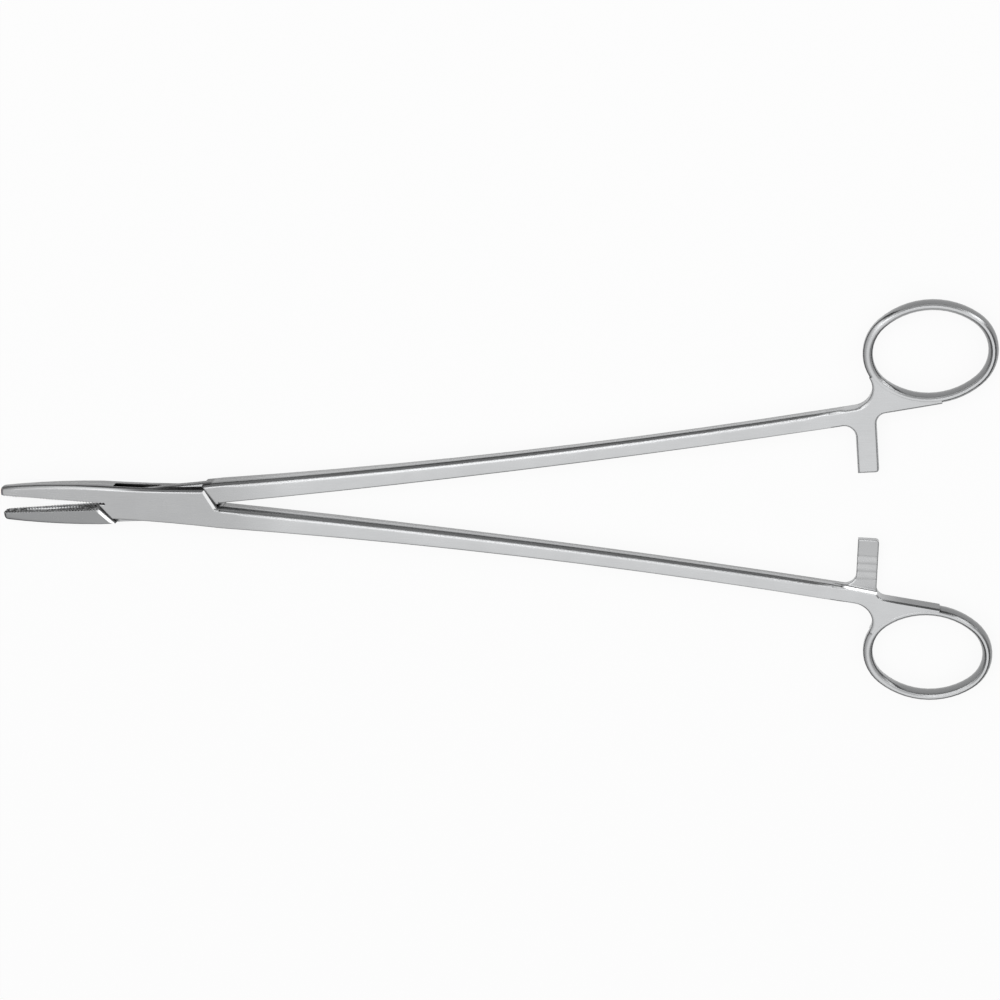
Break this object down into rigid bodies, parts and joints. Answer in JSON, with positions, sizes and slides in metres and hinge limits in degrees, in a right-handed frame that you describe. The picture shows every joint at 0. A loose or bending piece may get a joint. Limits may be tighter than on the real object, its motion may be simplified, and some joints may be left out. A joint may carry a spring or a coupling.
{
  "type": "surgical needle holder",
  "caption": "Long straight box-lock needle holder with short cross-cut jaws, slim shanks, a finger-ring ratchet and oval rings.",
  "frame": {"origin": "on the pivot's axis, in the plane of the box's back face", "axes": "+X along the instrument from the pivot to the finger rings, +Y across it towards the tang half's ring, +Z out of its front face"},
  "size_m": [0.2672, 0.1086, 0.0067],
  "materials": {
    "satin_steel": "satin-ground stainless steel, polished at the rings and edges",
    "pin_steel": "stainless steel, ground flush with the box"
  },
  "bodies": {
    "box_body": {"box_half": "satin_steel", "rivet_pin": "pin_steel"},
    "tang_body": {"tang_half": "satin_steel"}
  },
  "joints": [
    {"name": "box_lock", "type": "hinge", "parent": "box_body", "child": "tang_body", "pos_m": [0, 0, 0], "axis": [0, 0, 1], "range_deg": [-5.8, 24]}
  ]
}
